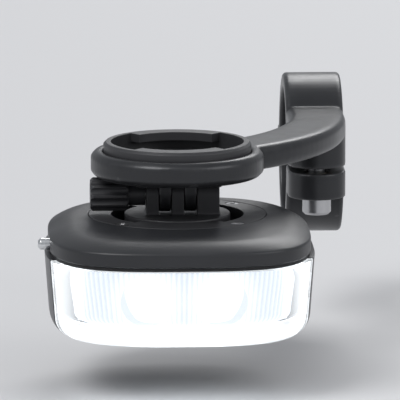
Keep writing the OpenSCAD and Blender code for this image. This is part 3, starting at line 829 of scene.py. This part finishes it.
fine_metal = dict(metallic=1.0, grain=0.2 * MM, depth=0.003 * MM, patch=2 * MM)
# The lighter edge colours given below are partly edge wear and partly a painted highlight along the edges.
grained_looks = {
    "arm_black": dict(
        color=(0.030, 0.031, 0.034),
        roughness=0.32,
        metallic=0.35,
        grain=0.25 * MM,
        depth=0.004 * MM,
        edge_wear_and_highlight=(0.085, 0.086, 0.09),
        fine_mesh=True,
    ),
    "body_grey": dict(
        color=(0.095, 0.098, 0.106),
        roughness=0.38,
        metallic=0.75,
        grain=0.22 * MM,
        depth=0.005 * MM,
        edge_wear_and_highlight=(0.2, 0.2, 0.21),
    ),
    "nylon_black": dict(
        color=(0.034, 0.034, 0.037),
        roughness=0.44,
        grain=0.35 * MM,
        depth=0.012 * MM,
        edge_wear_and_highlight=(0.10, 0.10, 0.105),
    ),
    "shell_black": dict(
        color=(0.022, 0.023, 0.026),
        roughness=0.42,
        grain=0.45 * MM,
        depth=0.03 * MM,
        patch=12 * MM,
    ),
    "spreader": dict(
        color=(0.70, 0.71, 0.72),
        roughness=0.34,
        metallic=1.0,
        grain=0.25 * MM,
        depth=0.005 * MM,
        patch=3 * MM,
        spread=0.1,
    ),
    "steel": dict(fine_metal, color=(0.52, 0.52, 0.53), roughness=0.3, spread=0.12),
    "insert_brass": dict(fine_metal, color=(0.70, 0.50, 0.20), roughness=0.32, spread=0.12),
    "port_steel": dict(fine_metal, color=(0.58, 0.58, 0.59), roughness=0.28, spread=0.1),
    "seal_rubber": dict(color=(0.013, 0.013, 0.014), roughness=0.7, depth=0.008 * MM),
    "flap_rubber": dict(color=(0.020, 0.020, 0.021), roughness=0.62, depth=0.010 * MM),
    "bezel_white": dict(color=(0.82, 0.82, 0.82), roughness=0.35, depth=0.004 * MM, spread=0.04),
    "led_board_white": dict(color=(0.80, 0.80, 0.78), roughness=0.32, depth=0.003 * MM, spread=0.04),
    "board_green": dict(color=(0.02, 0.14, 0.06), roughness=0.3, grain=0.5 * MM),
    "cell_wrap": dict(color=(0.04, 0.09, 0.20), roughness=0.28, grain=1.2 * MM, depth=0.02 * MM),
    "switch_grey": dict(color=(0.11, 0.11, 0.12), roughness=0.45),
    "lead_red": dict(color=(0.42, 0.03, 0.03), roughness=0.5),
}
finish = {name: grained(name, **look) for name, look in grained_looks.items()}
button_centre = PIVOT + (button_low + button_high) / 2
finish["button_silver"] = turned("button_silver", (0.74, 0.75, 0.76), 0.26, button_centre, "X")
finish["lens_clear"] = clear("lens_clear", (0.97, 0.985, 1.0), 0.015, 1.58, LENS_LIT)
finish["window_clear"] = clear("window_clear", (0.60, 0.85, 0.62), 0.2, 1.5)
finish["guide_lit"] = lit_guide("guide_lit")
finish["led_chip"] = lit_chip("led_chip")
slot_of = {row["node"]: row["material_slot"] for row in frame["record"]["subparts"]}
body_of = {node: body for body, held in frame["record"]["behaviour"]["bodies"].items() for node in held}


def stand_for(obj, node):
    """Puts a piece in a node's place: on its body, with its finish."""
    obj.data.materials.clear()
    obj.data.materials.append(finish[slot_of[node]])
    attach(obj, body_of[node])
    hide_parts(node)


for name, obj in nodes.items():
    for material_slot in obj.material_slots:
        material_slot.material = finish[slot_of[name]]

stand_for(make_lens(), "front_lens")
stand_for(make_body(), "lower_housing")
stand_for(make_cap(), "upper_housing")
stand_for(make_guide(), "optic_panel")
stand_for(cast("arm", "bracket_arm", 0.4 * MM, 6), "bracket_arm")
stand_for(cast("band", "clamp_band", 0.3 * MM, 8), "clamp_band")
stand_for(cast("plug", "tilt_adapter", 0.2 * MM, 5), "tilt_adapter")
stand_for(cast("flap", "port_flap", 0.14 * MM, 6), "port_flap")

# Floor, light and camera
FLOOR_GAP = 14 * MM
FLOOR_SIZE = 12
floor_mesh = bpy.data.meshes.new("floor")
half = FLOOR_SIZE / 2
floor_z = cad_low.z - FLOOR_GAP
edge = [(-half, -half, floor_z), (half, -half, floor_z), (half, half, floor_z), (-half, half, floor_z)]
floor_mesh.from_pydata(edge, [], [(0, 1, 2, 3)])
floor = bpy.data.objects.new("floor", floor_mesh)
bpy.context.scene.collection.objects.link(floor)
floor_look, floor_tree, floor_shader = new_material("floor")
floor_shader.inputs["Base Color"].default_value = (0.64, 0.64, 0.65, 1)
floor_shader.inputs["Roughness"].default_value = 0.7
floor_mesh.materials.append(floor_look)

VIEW_AZIMUTH = math.radians(-2.5)
VIEW_ELEVATION = math.radians(10)
VIEW_DISTANCE = 2.0
FILL = 0.80
SENSOR = 36
right = Vector((math.cos(VIEW_AZIMUTH), math.sin(VIEW_AZIMUTH), 0))
level = Vector((math.sin(VIEW_AZIMUTH), -math.cos(VIEW_AZIMUTH), 0))
ahead = level * math.cos(VIEW_ELEVATION) + Vector((0, 0, math.sin(VIEW_ELEVATION)))
up = ahead.cross(right)
corners = []
for name in nodes:
    low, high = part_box(name)
    corners += [
        Vector((x, y, z))
        for x in (low.x, high.x)
        for y in (low.y, high.y)
        for z in (low.z, high.z)
    ]


def span(axis):
    """Size and middle of the object along an axis of the view."""
    reach = [corner.dot(axis) for corner in corners]
    return max(reach) - min(reach), (max(reach) + min(reach)) / 2


wide, mid_right = span(right)
focus = right * mid_right + up * span(up)[1] + ahead * span(ahead)[1]
camera_data = bpy.data.cameras.new("camera")
camera_data.sensor_width = SENSOR
camera_data.lens = SENSOR * VIEW_DISTANCE / (wide / FILL)
camera_data.clip_start = 0.05
camera_data.clip_end = 100
camera = bpy.data.objects.new("camera", camera_data)
bpy.context.scene.collection.objects.link(camera)
camera.location = focus + ahead * VIEW_DISTANCE
camera.rotation_mode = "QUATERNION"
camera.rotation_quaternion = (-ahead).to_track_quat("-Z", "Y")
bpy.context.scene.camera = camera


def add_lamp(name, place, size, power):
    """A soft square lamp that looks at the object's middle."""
    data = bpy.data.lights.new(name, "AREA")
    data.shape = "SQUARE"
    data.size = size
    data.energy = power
    lamp = bpy.data.objects.new(name, data)
    bpy.context.scene.collection.objects.link(lamp)
    lamp.location = focus + Vector(place)
    lamp.rotation_mode = "QUATERNION"
    lamp.rotation_quaternion = (-Vector(place)).to_track_quat("-Z", "Y")


add_lamp("key", (-0.7, -0.7, 1.1), 0.7, 11)
add_lamp("fill", (1.0, -0.6, 0.6), 0.8, 4)
add_lamp("rim", (0.3, 1.0, 0.8), 0.6, 6)

world = bpy.data.worlds.new("world")
world.use_nodes = True
sky = world.node_tree.nodes["Background"]
sky.inputs["Color"].default_value = (0.92, 0.95, 1.0, 1)
sky.inputs["Strength"].default_value = 0.4
bpy.context.scene.world = world
bpy.context.scene.view_settings.view_transform = "Standard"
